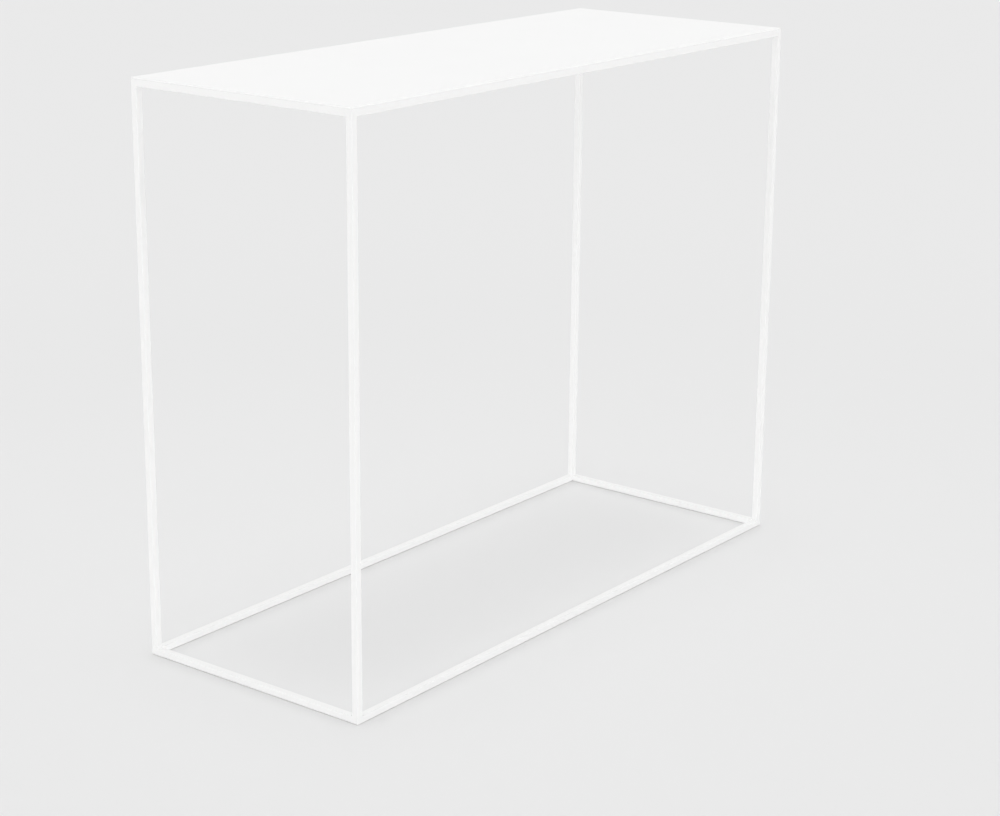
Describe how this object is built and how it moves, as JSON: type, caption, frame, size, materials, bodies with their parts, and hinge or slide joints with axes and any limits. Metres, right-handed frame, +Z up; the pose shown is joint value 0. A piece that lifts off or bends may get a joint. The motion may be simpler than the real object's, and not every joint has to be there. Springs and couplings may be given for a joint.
{
  "type": "console table",
  "caption": "Slim white console table: an open box frame of thin square steel bar with mitred three-way corners, a flush thin sheet top over a fine shadow line, and levelling feet.",
  "frame": {"origin": "on the floor, under the middle of the table", "axes": "+X along the length towards the right end, +Y from the front to the back, +Z up"},
  "size_m": [1.05, 0.4, 0.85],
  "materials": {
    "white_powder_coat": "fine satin powder coat on steel",
    "coppered_steel": "thin copper flash on a weld stud",
    "zinc_plated_steel": "bright zinc plating",
    "natural_nylon": "smooth, slightly cloudy",
    "grey_vinyl_tape": "thin soft tape, matt",
    "white_nylon": "moulded, fine matt texture"
  },
  "bodies": {
    "table": {"front_left_leg": "white_powder_coat", "front_right_leg": "white_powder_coat", "back_right_leg": "white_powder_coat", "back_left_leg": "white_powder_coat", "front_floor_rail": "white_powder_coat", "right_floor_rail": "white_powder_coat", "back_floor_rail": "white_powder_coat", "left_floor_rail": "white_powder_coat", "front_top_rail": "white_powder_coat", "right_top_rail": "white_powder_coat", "back_top_rail": "white_powder_coat", "left_top_rail": "white_powder_coat", "front_left_gusset": "white_powder_coat", "front_right_gusset": "white_powder_coat", "back_right_gusset": "white_powder_coat", "back_left_gusset": "white_powder_coat", "front_lug": "white_powder_coat", "back_lug": "white_powder_coat", "top_sheet": "white_powder_coat", "weld_studs": "coppered_steel", "spacer_washers": "natural_nylon", "plain_washers": "zinc_plated_steel", "nuts": "zinc_plated_steel", "edge_pads": "grey_vinyl_tape"},
    "front_left_foot": {"front_left_foot_pad": "white_nylon", "front_left_foot_stud": "zinc_plated_steel"},
    "front_right_foot": {"front_right_foot_pad": "white_nylon", "front_right_foot_stud": "zinc_plated_steel"},
    "back_right_foot": {"back_right_foot_pad": "white_nylon", "back_right_foot_stud": "zinc_plated_steel"},
    "back_left_foot": {"back_left_foot_pad": "white_nylon", "back_left_foot_stud": "zinc_plated_steel"}
  },
  "joints": [
    {"name": "front_left_foot_height", "type": "slide", "parent": "table", "child": "front_left_foot", "axis": [0, 0, -1], "range_m": [0, 0.008]},
    {"name": "front_right_foot_height", "type": "slide", "parent": "table", "child": "front_right_foot", "axis": [0, 0, -1], "range_m": [0, 0.008]},
    {"name": "back_right_foot_height", "type": "slide", "parent": "table", "child": "back_right_foot", "axis": [0, 0, -1], "range_m": [0, 0.008]},
    {"name": "back_left_foot_height", "type": "slide", "parent": "table", "child": "back_left_foot", "axis": [0, 0, -1], "range_m": [0, 0.008]}
  ]
}
